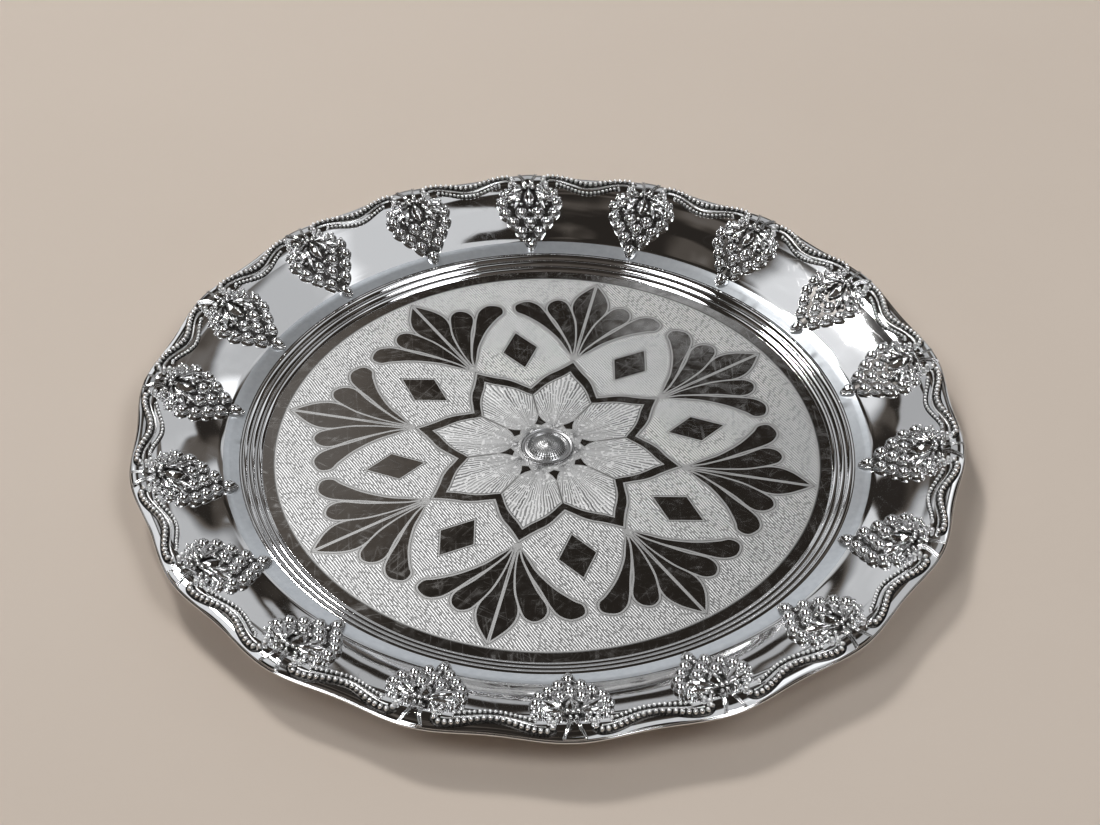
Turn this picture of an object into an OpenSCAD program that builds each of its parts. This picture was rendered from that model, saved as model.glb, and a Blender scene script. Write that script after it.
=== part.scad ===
// Round offering plate with a scalloped lip, eighteen applied grape mounts and beaded swags.
// The origin is the centre of the flat underside, +Z is up, and a grape mount lies on +X.

/* [Plate] */
// Overall diameter, across the crests of the scalloped edge
plate_d = 300; // [270:5:340]
// Thickness of the pressed sheet
sheet_t = 1; // [0.7:0.1:1.4]
// How far the edge draws in between two crests
scallop_depth = 2.2; // [0.4:0.2:3.6]
// Number of grape mounts, and of swags between them
swag_n = 18; // [14:1:19]

/* [Dish profile] */
// Number of rounded reeds in the step round the floor
reed_n = 3; // [2:1:4]
// Width of one reed
reed_w = 2.6; // [2.2:0.1:3]
// Rise of the step over one reed
reed_rise = 1.1; // [0.8:0.1:1.5]
// How proud each reed's crown stands of the slope
reed_crown = 0.5; // [0.3:0.1:0.8]
// Width of the plain ring between the reeds and the wall
ring_w = 5.2; // [4.4:0.2:7]
// Rise of the plain ring
ring_rise = 1.5; // [1:0.1:2.2]
// Width of the sloping wall, seen from above
wall_w = 21.5; // [19:0.5:26]
// Rise of the sloping wall
wall_rise = 9.8; // [8:0.2:13]
// Width of the flared lip, seen from above
lip_w = 11.5; // [11:0.5:14]
// Rise of the lip from the top of the wall to its crown
lip_rise = 1.8; // [1.2:0.1:2.6]
// Drop of the edge below the crown of the lip
edge_drop = 1; // [0.4:0.1:2]

/* [Grape mounts] */
// Diameter of one grape
grape_d = 5.9; // [5.2:0.1:6.3]
// Distance across a row from one grape to the next
grape_pitch = 6.9; // [6.2:0.1:7.4]
// Thickness of the plate that carries the grapes
mount_t = 0.9; // [0.6:0.1:1.2]
// Length of the central leaf above the grapes
leaf_l = 7.6; // [6:0.2:8.4]
// Width of the central leaf
leaf_w = 5; // [4:0.2:6]
// Thickness of the leaves
leaf_t = 1; // [0.7:0.1:1.4]
// Diameter of the small pearls at the neck of the mount
pearl_d = 1.7; // [1.3:0.1:2]
// Width of the neck between the curled ends of the swags
neck_w = 3; // [2.2:0.2:4]

/* [Beaded swags] */
// Diameter of the beads of the outer cord
bead_d = 1.95; // [1.6:0.05:2.2]
// Distance from the edge in to the outer cord where it runs nearest the edge
cord_inset = 3.4; // [3:0.1:4]
// How far the outer cord dips towards the well at mid swag
cord_dip = 4; // [2:0.2:5]
// Radius of the curl at each end of the outer cord
curl_r = 2.4; // [2:0.1:2.8]
// Diameter of the beads of the inner cord
fine_bead_d = 1.4; // [1.1:0.05:1.6]
// Distance from the outer cord in to the inner cord
cord_gap = 4; // [3.4:0.1:4.6]

/* [Centre boss] */
// Diameter of the dome in the middle of the floor
dome_d = 15.4; // [12:0.2:18]
// Height of the dome
dome_h = 3; // [2:0.2:4]
// Width of the flat collar round the dome
collar_w = 2; // [1.4:0.1:3]
// Height of the collar
collar_h = 0.6; // [0.4:0.1:1]

/* [Hidden] */
$fn = 48;
// Facets round the wide surfaces of revolution
wide_fn = 360;
// Film of solder between an applied piece and the dish
solder = 0.05;
// Share of the pitch that a bead's diameter takes up, so that neighbouring beads merge
bead_pitch_share = 0.95;
// Share of a pearl's diameter from one pearl to the next
pearl_pitch_share = 0.92;
// Angle from one leaf to the next
leaf_fan = 37;
// Overrun of every cutting body
cut = 5;
// Half of the step along the profile over which its slope is measured
slope_step = 0.2;
// Points that draw one curve of the profile
curve_n = 6;
// Straight steps that draw one scallop of the edge
scallop_steps = 10;
// Angle through which the end of the outer cord curls
curl_turn = 150;

edge_r = plate_d / 2;
lip_r = edge_r - lip_w;
foot_r = lip_r - wall_w;
ring_r = foot_r - ring_w;
floor_r = ring_r - reed_n * reed_w;
ring_z = sheet_t + reed_n * reed_rise;
foot_z = ring_z + ring_rise;
wall_z = foot_z + wall_rise;
crown_z = wall_z + lip_rise;
// Share of the lip's width at which its crown lies
crown_share = 0.5;
crown_r = lip_r + lip_w * crown_share;
// Share of the ring's width that the curve into the wall takes up on each side
fillet_share = 0.35;
fillet_w = ring_w * fillet_share;
swag_angle = 360 / swag_n;

// Curve from a to c that leaves and arrives along the lines to b
function curve(a, b, c) = [for (i = [0:curve_n]) let (t = i / curve_n)
    (1 - t) * (1 - t) * a + 2 * t * (1 - t) * b + t * t * c];

// Upper face of the dish beyond the reeds, as [radius, height] pairs
function outer_points(reach = 0) = let (
        foot = [foot_r, foot_z],
        top = [lip_r, wall_z],
        ring_dir = (foot - [ring_r, ring_z]) / ring_w,
        wall_dir = (top - foot) / wall_w,
        bend_w = min(lip_rise / wall_dir[1], (crown_r - lip_r) * 0.95))
    concat(
        curve(foot - ring_dir * fillet_w, foot, foot + wall_dir * fillet_w),
        curve(top, [lip_r + bend_w, crown_z], [crown_r, crown_z]),
        [for (i = [1:curve_n]) let (t = i / curve_n)
            [crown_r + (edge_r - crown_r) * t, crown_z - edge_drop * t * t]],
        reach > 0 ? [[edge_r + reach, crown_z - edge_drop * (1 + 2 * reach / (edge_r - crown_r))]] : []);

// Rounded reeds of the step, without the first point
reed_points = [for (i = [0:reed_n - 1], j = [1:curve_n]) let (t = j / curve_n)
    [floor_r + (i + t) * reed_w, sheet_t + (i + t) * reed_rise + reed_crown * sin(180 * t)]];

floor_points = [[0, sheet_t], [floor_r, sheet_t]];
face_points = concat(floor_points, reed_points, outer_points(cut));
core_points = concat(floor_points, [[ring_r, ring_z]], outer_points(cut));

// Height and slope of the dish's upper face at a radius
function face_z(r) = lookup(r, face_points);
function face_slope(r) = atan((face_z(r + slope_step) - face_z(r - slope_step)) / (2 * slope_step));

// Lower face of the sheet: each segment of the line moved down by the thickness, joined at mitres
function unit(v) = v / norm(v);
function below(v) = [v[1], -v[0]];
function mitre(a, b) = (a + b) / (1 + a * b);
function offset_line(line, t) = let (last = len(line) - 1)
    [for (i = [0:last]) let (
            into = below(unit(line[max(i, 1)] - line[max(i, 1) - 1])),
            out = below(unit(line[min(i, last - 1) + 1] - line[min(i, last - 1)])))
        line[i] + t * mitre(into, out)];

function reversed(list) = [for (i = [len(list) - 1:-1:0]) list[i]];

// Scalloped outline of the edge, widest at the grape mounts
edge_outline = [for (i = [0:swag_n * scallop_steps - 1]) let (
        a = i * swag_angle / scallop_steps,
        r = edge_r - scallop_depth * (1 - cos(swag_n * a)) / 2)
    [r * cos(a), r * sin(a)]];

// Puts its children on the dish's face, at radius r and v to the side, tilted with the slope
module on_face(r, v = 0, h = 0) {
    rotate([0, 0, asin(v / r)])
        translate([r, 0, face_z(r)])
            rotate([0, -face_slope(r), 0])
                translate([0, 0, h])
                    children();
}

// Shell of revolution that lies on the dish's face beyond the reeds, from one height above it to another
module face_shell(low, high) {
    line = [for (p = face_points) if (p[0] > ring_r - reed_w) p];
    rotate_extrude(angle = swag_angle, start = -swag_angle / 2, $fn = wide_fn)
        polygon(concat(
            [for (p = line) p + [0, low]],
            [for (p = reversed(line)) p + [0, high]]));
}

module dish() {
    color("silver")
        intersection() {
            rotate_extrude($fn = wide_fn)
                polygon(concat(face_points, reversed(offset_line(core_points, sheet_t))));
            translate([0, 0, -cut])
                linear_extrude(crown_z + 2 * cut)
                    polygon(edge_outline);
        }
}

module centre_boss() {
    dome_r = dome_d / 2;
    ball_r = (dome_r * dome_r + dome_h * dome_h) / (2 * dome_h);
    collar_r = dome_r + collar_w;
    edge_w = collar_w / 5;
    color("gainsboro")
        translate([0, 0, sheet_t])
            union() {
                intersection() {
                    translate([0, 0, dome_h - ball_r])
                        sphere(ball_r);
                    cylinder(h = dome_h + cut, r = collar_r);
                }
                rotate_extrude()
                    polygon([
                        [dome_r - edge_w, 0],
                        [dome_r - edge_w, collar_h],
                        [dome_r + edge_w / 2, collar_h],
                        [dome_r + edge_w, collar_h / 2],
                        [collar_r - edge_w, collar_h / 2],
                        [collar_r - edge_w / 2, collar_h],
                        [collar_r, 0]]);
            }
}

// Rows of the bunch from its tip upwards: share of the wall's width above its foot, then the places
// across the row in grape pitches
row_shares = [-0.03, 0.19, 0.38, 0.57, 0.79];
row_place_shares = [[0], [-0.56, 0.56], [-1.02, 0, 1.02], [-1.48, -0.5, 0.5, 1.48], [-1.6, 1.6]];

function row_r(i) = foot_r + wall_w * row_shares[i];
tip_r = row_r(0) - grape_d / 2;
leaf_r = row_r(3) + grape_d * 0.4;
neck_r = leaf_r + leaf_l + pearl_d;
mount_end_r = edge_r - scallop_depth;
bunch_half_w = grape_pitch * 1.5;

// Half widths of the carrying plate: share of the way from tip to neck, share of the bunch's half width
side_shares = [[0.06, 0.16], [0.2, 0.5], [0.38, 0.84], [0.56, 1.08], [0.74, 1.1], [0.88, 0.66], [0.97, 0.3]];

module carrying_plate() {
    side = concat(
        [for (s = side_shares) [tip_r + (neck_r - tip_r) * s[0], bunch_half_w * s[1]]],
        [[neck_r + (mount_end_r - neck_r) / 2, neck_w * 0.4], [mount_end_r, neck_w * 0.7]]);
    intersection() {
        linear_extrude(crown_z + cut)
            polygon(concat(
                [[tip_r, 0]],
                side,
                [for (p = reversed(side)) [p[0], -p[1]]]));
        face_shell(solder, solder + mount_t);
    }
}

// Round grape, cut off flat within the thickness of the carrying plate
module grape() {
    intersection() {
        rotate([0, 0, 90])
            sphere(d = grape_d);
        translate([0, 0, solder + mount_t / 2])
            cylinder(h = grape_d, d = grape_d + cut);
    }
}

// Pointed oval leaf that grows from the origin along +X
module leaf(length, width, thickness) {
    steps = curve_n + 2;
    half = [for (i = [1:steps - 1]) let (t = i / steps) [length * t, width / 2 * pow(sin(180 * t), 0.8)]];
    linear_extrude(thickness)
        polygon(concat([[0, 0]], half, [[length, 0]], [for (p = reversed(half)) [p[0], -p[1]]]));
}

// Leaves above the bunch, the middle one first: place to the side, length, width and height as shares
leaf_shares = [[0, 1, 1, 1], [0.32, 0.94, 0.85, 0.8], [0.62, 0.86, 0.7, 0.6]];

module leaves() {
    for (i = [0:len(leaf_shares) - 1], side = i > 0 ? [-1, 1] : [1]) {
        share = leaf_shares[i];
        on_face(leaf_r + leaf_w * share[0] / 2, side * leaf_w * share[0], mount_t * share[3])
            rotate([0, 0, side * leaf_fan * i])
                leaf(leaf_l * share[1], leaf_w * share[2], leaf_t * share[3]);
    }
}

module grape_mount() {
    color("whitesmoke")
        union() {
            carrying_plate();
            for (i = [0:len(row_shares) - 1], place = row_place_shares[i])
                on_face(row_r(i), place * grape_pitch)
                    grape();
            leaves();
            for (side = [-1, 0, 1])
                on_face(neck_r - abs(side) * pearl_d / 5, side * pearl_d * pearl_pitch_share, pearl_d / 2 + solder)
                    sphere(d = pearl_d);
        }
}

// Line of the outer cord from mid swag to the end of its curl, as [radius, angle] pairs
crest_r = edge_r - cord_inset;
dip_r = crest_r - cord_dip;
curl_side = neck_w * 0.7 + bead_d + 2 * curl_r;
crest_angle = swag_angle / 2 - asin(curl_side / crest_r);
line_n = 4 * curve_n;
outer_half = concat(
    [for (i = [0:line_n]) let (t = i / line_n)
        [dip_r + cord_dip * (1 - cos(180 * t)) / 2, crest_angle * t]],
    [for (i = [1:line_n]) let (t = curl_turn * i / line_n)
        [crest_r - curl_r * (1 - cos(t)), crest_angle + asin(curl_r * sin(t) / crest_r)]]);

// The inner cord runs beside the outer one and stops short of the bunch
fine_dip_r = dip_r - cord_gap;
fine_angle = swag_angle / 2 - asin((bunch_half_w + fine_bead_d) / fine_dip_r);
inner_half = [for (i = [0:line_n]) let (t = i / line_n)
    [fine_dip_r + cord_dip * (1 - cos(180 * t * fine_angle / crest_angle)) / 2, fine_angle * t]];

// Centres of balls of diameter d that roll along the whole line on the dish's face
function seated(p, d) = let (
        h = d / 2 + solder,
        r = p[0] - h * sin(face_slope(p[0])))
    [r * cos(p[1]), r * sin(p[1]), face_z(p[0]) + h * cos(face_slope(p[0]))];
function whole_line(half, d) = let (right = [for (p = half) seated(p, d)])
    concat([for (i = [len(right) - 1:-1:1]) [right[i][0], -right[i][1], right[i][2]]], right);

// Distance of each point along a line
function distances(line, i = 0, s = 0, done = []) =
    i == len(line) ? done :
    distances(line, i + 1, s + (i + 1 < len(line) ? norm(line[i + 1] - line[i]) : 0), concat(done, [s]));

// Direction from one point to another, seen from above
function heading(a, b) = atan2(b[1] - a[1], b[0] - a[0]);

// Beads of equal size, evenly spaced along the line, each seated on the dish and merged with the next
module bead_cord(half, d) {
    line = whole_line(half, d);
    along = distances(line);
    axes = [for (axis = [0:2]) [for (i = [0:len(line) - 1]) [along[i], line[i][axis]]]];
    length = along[len(line) - 1];
    count = ceil(length / (d * bead_pitch_share));
    places = [for (i = [0:count]) [for (axis = axes) lookup(length * i / count, axis)]];
    union() {
        for (i = [0:count])
            translate(places[i])
                rotate([0, 0, heading(places[max(i - 1, 0)], places[min(i + 1, count)]) + 90])
                    sphere(d = d);
    }
}

module outer_cord() {
    color("lightgray")
        bead_cord(outer_half, bead_d);
}

module inner_cord() {
    color("darkgray")
        bead_cord(inner_half, fine_bead_d);
}

// Turns a piece to its place: mounts lie on the crests, swags midway between them
module turned(steps) {
    rotate([0, 0, swag_angle * steps])
        children();
}

function numbered(name, i) = str(name, i < 10 ? "_0" : "_", i);

dish();
centre_boss();
for (i = [1:swag_n]) {
    turned(i - 1) grape_mount();
    turned(i - 0.5) outer_cord();
    turned(i - 0.5) inner_cord();
}
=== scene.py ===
# Round offering plate: the detailed visual model, its materials, light and camera.
# Lengths are in millimetres in the tables and in metres once they reach Blender.
import math
import random

import bpy
from mathutils import Matrix, Vector
from mathutils.geometry import delaunay_2d_cdt


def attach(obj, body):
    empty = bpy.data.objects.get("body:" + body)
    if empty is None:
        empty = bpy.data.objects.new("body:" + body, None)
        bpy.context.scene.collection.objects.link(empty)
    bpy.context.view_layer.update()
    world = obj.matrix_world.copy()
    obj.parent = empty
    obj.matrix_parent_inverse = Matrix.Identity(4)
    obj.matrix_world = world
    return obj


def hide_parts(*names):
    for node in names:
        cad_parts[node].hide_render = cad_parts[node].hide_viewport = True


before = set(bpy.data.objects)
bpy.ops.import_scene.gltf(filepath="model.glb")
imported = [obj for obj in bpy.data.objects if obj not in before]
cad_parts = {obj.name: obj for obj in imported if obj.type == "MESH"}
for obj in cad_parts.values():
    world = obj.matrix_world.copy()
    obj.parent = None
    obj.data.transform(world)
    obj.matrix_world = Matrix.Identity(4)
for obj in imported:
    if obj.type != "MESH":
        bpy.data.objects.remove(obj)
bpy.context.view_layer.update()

MM = 0.001
TAU = 2 * math.pi

# ------------------------ sizes shared with the solids
PLATE_R, SHEET, SCALLOP, SWAGS = 150.0, 1.0, 2.2, 18
REEDS, REED_W, REED_RISE, REED_CROWN = 3, 2.6, 1.1, 0.5
RING_W, RING_RISE, WALL_W, WALL_RISE = 5.2, 1.5, 21.5, 9.8
LIP_W, LIP_RISE, EDGE_DROP = 11.5, 1.8, 1.0
SOLDER = 0.05
# How far the wall swells above a straight cone, half way up
BULGE = 0.5

LIP_R = PLATE_R - LIP_W
FOOT_R = LIP_R - WALL_W
RING_R = FOOT_R - RING_W
FLOOR_R = RING_R - REEDS * REED_W
RING_Z = SHEET + REEDS * REED_RISE
FOOT_Z = RING_Z + RING_RISE
WALL_Z = FOOT_Z + WALL_RISE
CROWN_R = LIP_R + LIP_W * 0.5
CROWN_Z = WALL_Z + LIP_RISE
FILLET_W = RING_W * 0.35
# The ring's first short step outward, which keeps its seam with the last reed sharp
RING_LEAD = 0.3
SWAG = TAU / SWAGS

# Unit of the engraving: the radius of the star's tips
STAR = 49.5
# Azimuth of the model's X axis in the photograph's frame, where the camera stands at -90
TURN = math.radians(33.6)


# ------------------------ profile of the dish
def curve(a, b, c, n):
    """Points from a to c in n steps, bent toward b."""
    out = []
    for i in range(n + 1):
        t = i / n
        out.append(tuple((1 - t) ** 2 * a[k] + 2 * t * (1 - t) * b[k] + t * t * c[k] for k in (0, 1)))
    return out


def toward(p, q, w):
    """The point w millimetres of radius from p on the way to q."""
    t = w / abs(q[0] - p[0])
    return (p[0] + (q[0] - p[0]) * t, p[1] + (q[1] - p[1]) * t)


def face_line(n=14, reeds=True):
    """The dish's face from the floor outward, as (radius, height), with n steps to each curve."""
    ring, foot, top = (RING_R, RING_Z), (FOOT_R, FOOT_Z), (LIP_R, WALL_Z)
    line = [(FLOOR_R, SHEET)]
    if reeds:
        for i in range(REEDS):
            for j in range(1, n + 1):
                t = j / n
                line.append((FLOOR_R + (i + t) * REED_W,
                             SHEET + (i + t) * REED_RISE + REED_CROWN * math.sin(math.pi * t)))
    else:
        line.append(ring)
    line.append(toward(ring, foot, RING_LEAD))
    line += curve(toward(foot, ring, FILLET_W), foot, toward(foot, top, FILLET_W), n)
    start = line[-1]
    for i in range(1, n):
        t = i / n
        line.append((start[0] + (top[0] - start[0]) * t,
                     start[1] + (top[1] - start[1]) * t + BULGE * math.sin(math.pi * t)))
    slope = WALL_RISE / WALL_W
    bend = min(LIP_RISE / slope, (CROWN_R - LIP_R) * 0.95)
    line += curve(top, (LIP_R + bend, CROWN_Z), (CROWN_R, CROWN_Z), n)
    for i in range(1, n + 1):
        t = i / n
        line.append((CROWN_R + (PLATE_R - CROWN_R) * t, CROWN_Z - EDGE_DROP * t * t))
    return line


# The face from the middle outward, carried on past the edge for slopes that are asked for there
FACE = [(0.0, SHEET)] + face_line() + [(PLATE_R + 6, CROWN_Z - EDGE_DROP * 3)]


def face_z(r):
    """Height of the dish's face at radius r."""
    for (r0, z0), (r1, z1) in zip(FACE, FACE[1:]):
        if r <= r1:
            return z0 + (z1 - z0) * (r - r0) / max(r1 - r0, 1e-9)
    return FACE[-1][1]


def face_slope(r, step=0.35):
    """Slope of the dish's face at radius r, in radians."""
    return math.atan((face_z(r + step) - face_z(r - step)) / (2 * step))


def scallop(a):
    """How far the edge lies inside its crests at azimuth a."""
    return SCALLOP * (1 - math.cos(SWAGS * a)) / 2


def polar(r, a, h):
    """Point h above the dish's face, at radius r and azimuth a."""
    s = face_slope(r)
    rr = r - h * math.sin(s)
    return Vector((rr * math.cos(a), rr * math.sin(a), face_z(r) + h * math.cos(s)))


def bearing(r, v):
    """Azimuth of the place at radius r that lies v to the side of the X axis."""
    return math.asin(max(-1, min(1, v / r)))


def on_face(r, v=0.0, h=0.0):
    """Point h above the dish's face, at radius r and v to the side of the X axis."""
    return polar(r, bearing(r, v), h)


def face_frame(r, v=0.0):
    """Matrix whose X runs outward up the face, Y to the side and Z along the face's normal."""
    m = Matrix.Rotation(bearing(r, v), 4, "Z") @ Matrix.Rotation(-face_slope(r), 4, "Y")
    m.translation = on_face(r, v)
    return m


# ------------------------ mesh building
class Shape:
    """Points in millimetres and the faces between them, each with its material and its shading."""

    def __init__(self):
        self.v, self.f, self.m, self.s = [], [], [], []

    def add(self, verts, faces, mat=0, smooth=True):
        """New points, and faces between them."""
        base = len(self.v)
        self.v += [tuple(p) for p in verts]
        for f in faces:
            self.face([i + base for i in f], mat, smooth)

    def face(self, corners, mat=0, smooth=True):
        """One face between points that are already there."""
        self.f.append(tuple(corners))
        self.m.append(mat)
        self.s.append(smooth)

    def grid(self, rows, mat=0, close_u=False, close_v=False):
        """Quads between rows of points; close_u joins each row's ends, close_v the last row to the first."""
        n, w = len(rows), len(rows[0])
        faces = []
        for i in range(n if close_v else n - 1):
            for j in range(w if close_u else w - 1):
                a, b = i * w + j, i * w + (j + 1) % w
                c, d = ((i + 1) % n) * w + (j + 1) % w, ((i + 1) % n) * w + j
                faces.append((a, b, c, d))
        self.add([p for row in rows for p in row], faces, mat)

    def bar(self, rows, mat=0):
        """Closed solid through rows that each run once round it, with a flat face at both ends."""
        self.grid(rows, mat, close_u=True)
        end, w = len(self.v), len(rows[0])
        base = end - w * len(rows)
        self.face(range(base, base + w), mat, False)
        self.face(reversed(range(end - w, end)), mat, False)

    def ball(self, frame4, rx, ry, rz, n, m):
        """Ellipsoid with its own poles along local Z, n points round and m steps from pole to pole."""
        verts, faces = [frame4 @ Vector((0, 0, rz))], []
        for i in range(1, m):
            t = math.pi * i / m
            for j in range(n):
                p = TAU * j / n
                verts.append(frame4 @ Vector((rx * math.sin(t) * math.cos(p), ry * math.sin(t) * math.sin(p),
                                              rz * math.cos(t))))
        verts.append(frame4 @ Vector((0, 0, -rz)))
        last = 1 + (m - 2) * n
        for j in range(n):
            faces.append((0, 1 + j, 1 + (j + 1) % n))
            faces.append((len(verts) - 1, last + (j + 1) % n, last + j))
            for i in range(m - 2):
                a, b = 1 + i * n + j, 1 + i * n + (j + 1) % n
                faces.append((a, a + n, b + n, b))
        self.add(verts, faces)

    def tube(self, path, radius, n=8):
        """Closed tube of n sides along a path."""
        rows = []
        for i, p in enumerate(path):
            t = (path[min(i + 1, len(path) - 1)] - path[max(i - 1, 0)]).normalized()
            side = t.cross(Vector((0, 0, 1))).normalized()
            top = side.cross(t).normalized()
            rows.append([p + side * (radius * math.cos(TAU * j / n)) + top * (radius * math.sin(TAU * j / n))
                         for j in range(n)])
        self.grid(rows, close_u=True)
        self.add(rows[0], [tuple(range(n))])
        self.add(rows[-1], [tuple(reversed(range(n)))])

    def mesh(self, name, materials):
        """The shape as a Blender mesh, in metres."""
        mesh = bpy.data.meshes.new(name)
        mesh.from_pydata([(x * MM, y * MM, z * MM) for x, y, z in self.v], [], self.f)
        mesh.polygons.foreach_set("material_index", self.m)
        mesh.polygons.foreach_set("use_smooth", self.s)
        for mat in materials:
            mesh.materials.append(mat)
        mesh.validate()
        mesh.update()
        return mesh


def place(name, mesh, turn=0.0):
    """New object in the scene, turned about the plate's axis."""
    obj = bpy.data.objects.new(name, mesh)
    obj.rotation_euler[2] = turn
    bpy.context.scene.collection.objects.link(obj)
    return obj


# ------------------------ materials
class Net:
    """Short way to write a material's nodes."""

    def __init__(self, tree):
        self.t = tree

    def node(self, kind, inputs=None, **props):
        n = self.t.nodes.new(kind)
        for k, v in props.items():
            setattr(n, k, v)
        for k, v in (inputs or {}).items():
            self.put(n.inputs[k], v)
        return n

    def put(self, socket, value):
        if isinstance(value, bpy.types.NodeSocket):
            self.t.links.new(value, socket)
        else:
            socket.default_value = value

    def math(self, op, a, b=0.0, c=0.0):
        n = self.node("ShaderNodeMath", operation=op)
        for s, v in zip(n.inputs, (a, b, c)):
            self.put(s, v)
        return n.outputs[0]

    def add(self, a, b):
        return self.math("ADD", a, b)

    def sub(self, a, b):
        return self.math("SUBTRACT", a, b)

    def mul(self, a, b):
        return self.math("MULTIPLY", a, b)

    def split(self, vector):
        """X, Y and Z of a vector."""
        return self.node("ShaderNodeSeparateXYZ", {"Vector": vector}).outputs

    def radius(self, x, y):
        """Distance from the plate's axis."""
        return self.math("SQRT", self.add(self.mul(x, x), self.mul(y, y)))

    def grey(self, tone):
        """Colour with the same red, green and blue."""
        return self.node("ShaderNodeCombineColor", {"Red": tone, "Green": tone, "Blue": tone}).outputs[0]

    def random(self, value):
        """0 to 1, its own for each whole number."""
        return self.node("ShaderNodeTexWhiteNoise", noise_dimensions="1D", inputs={"W": value}).outputs[0]

    def mix(self, factor, a, b):
        """Number or colour between a and b."""
        colour = isinstance(a, tuple) or isinstance(b, tuple)
        n = self.node("ShaderNodeMix", data_type="RGBA" if colour else "FLOAT")
        kind = "RGBA" if colour else "VALUE"
        ins = [s for s in n.inputs if s.type == kind and s.name in ("A", "B")]
        self.put(n.inputs[0], factor)
        self.put(ins[0], a)
        self.put(ins[1], b)
        return [s for s in n.outputs if s.type == kind][0]

    def ramp(self, value, low, high):
        """0 at low, 1 at high, smooth between."""
        n = self.node("ShaderNodeMapRange", interpolation_type="SMOOTHSTEP")
        self.put(n.inputs["Value"], value)
        self.put(n.inputs["From Min"], low)
        self.put(n.inputs["From Max"], high)
        return n.outputs[0]

    def band(self, value, centre, inner, outer):
        """1 within inner of the centre, 0 beyond outer, smooth between."""
        off = self.math("ABSOLUTE", self.sub(value, centre))
        return self.sub(1.0, self.ramp(off, inner, outer))

    def noise(self, scale, vector=None, detail=3.0, rough=0.55):
        n = self.node("ShaderNodeTexNoise")
        self.put(n.inputs["Scale"], scale)
        self.put(n.inputs["Detail"], detail)
        self.put(n.inputs["Roughness"], rough)
        self.put(n.inputs["Vector"], self.where if vector is None else vector)
        return n.outputs["Fac"]

    def bump(self, height, distance, strength=1.0, normal=None):
        n = self.node("ShaderNodeBump")
        self.put(n.inputs["Height"], height)
        self.put(n.inputs["Distance"], distance)
        self.put(n.inputs["Strength"], strength)
        if normal is not None:
            self.put(n.inputs["Normal"], normal)
        return n.outputs[0]

    def mapped(self, vector, scale=(1, 1, 1), rotation=(0, 0, 0)):
        n = self.node("ShaderNodeMapping")
        self.put(n.inputs["Vector"], vector)
        self.put(n.inputs["Scale"], scale)
        self.put(n.inputs["Rotation"], rotation)
        return n.outputs[0]


def metal(name, colour, make, metallic=1.0):
    """Material with a Principled shader; make(net, shader) wires its detail."""
    mat = bpy.data.materials.new(name)
    mat.use_nodes = True
    shader = mat.node_tree.nodes["Principled BSDF"]
    shader.inputs["Base Color"].default_value = (*colour, 1)
    shader.inputs["Metallic"].default_value = metallic
    net = Net(mat.node_tree)
    net.where = net.node("ShaderNodeTexCoord").outputs["Object"]
    make(net, shader)
    return mat


def scratches(net, layers, width):
    """0 to 1: long thin curved marks.

    Each layer is its angle, its spacing and its reach in metres, and how rare it is.
    """
    total = None
    for angle, across, reach, rare in layers:
        v = net.mapped(net.mapped(net.where, rotation=(0, 0, angle)), (1 / across, 1 / reach, 1))
        line = net.band(net.noise(1.0, v, 1.0, 0.4), 0.5, 0.0, width)
        gate = net.ramp(net.noise(90.0 + 30 * angle, None, 1.0), rare, rare + 0.06)
        line = net.mul(line, gate)
        total = line if total is None else net.math("MAXIMUM", total, line)
    return total


def polished(rough_low, rough_high, wave, scratch, fine):
    """Polish with soft waves, fine grain and faint scratches; wave and fine are heights in metres."""
    def make(net, shader):
        cloud = net.noise(120.0)
        marks = scratches(net, ((0.3, 0.008, 0.06, 0.5), (1.5, 0.01, 0.08, 0.52), (2.4, 0.009, 0.07, 0.5)), 0.011)
        rough = net.mix(cloud, rough_low, rough_high)
        net.put(shader.inputs["Roughness"], net.add(rough, net.mul(marks, scratch * 0.3)))
        swell = net.bump(net.noise(26.0, None, 2.0, 0.35), wave)
        net.put(shader.inputs["Normal"], net.bump(net.noise(900.0, None, 2.0, 0.5), fine, 1.0, swell))
    return make


def dark_polish(net, shader):
    """The engraving's smooth fields: bright polish with a net of cleaning scratches."""
    marks = scratches(net, ((0.5, 0.004, 0.05, 0.46), (1.2, 0.005, 0.06, 0.48), (2.0, 0.004, 0.05, 0.46),
                            (2.7, 0.005, 0.07, 0.48)), 0.024)
    cloud = net.noise(260.0)
    rough = net.mix(net.ramp(cloud, 0.35, 0.7), 0.06, 0.13)
    net.put(shader.inputs["Roughness"], net.add(rough, net.mul(marks, 0.07)))
    net.put(shader.inputs["Base Color"], net.mix(marks, (0.72, 0.705, 0.69, 1), (0.86, 0.85, 0.84, 1)))
    net.put(shader.inputs["Normal"], net.bump(net.noise(60.0, None, 2.0, 0.4), 0.00008))


# The ground's hatching, in metres: from one cut to the next, and the usual length of a brick
HATCH_PITCH, BRICK = 0.00094, 0.0031


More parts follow.
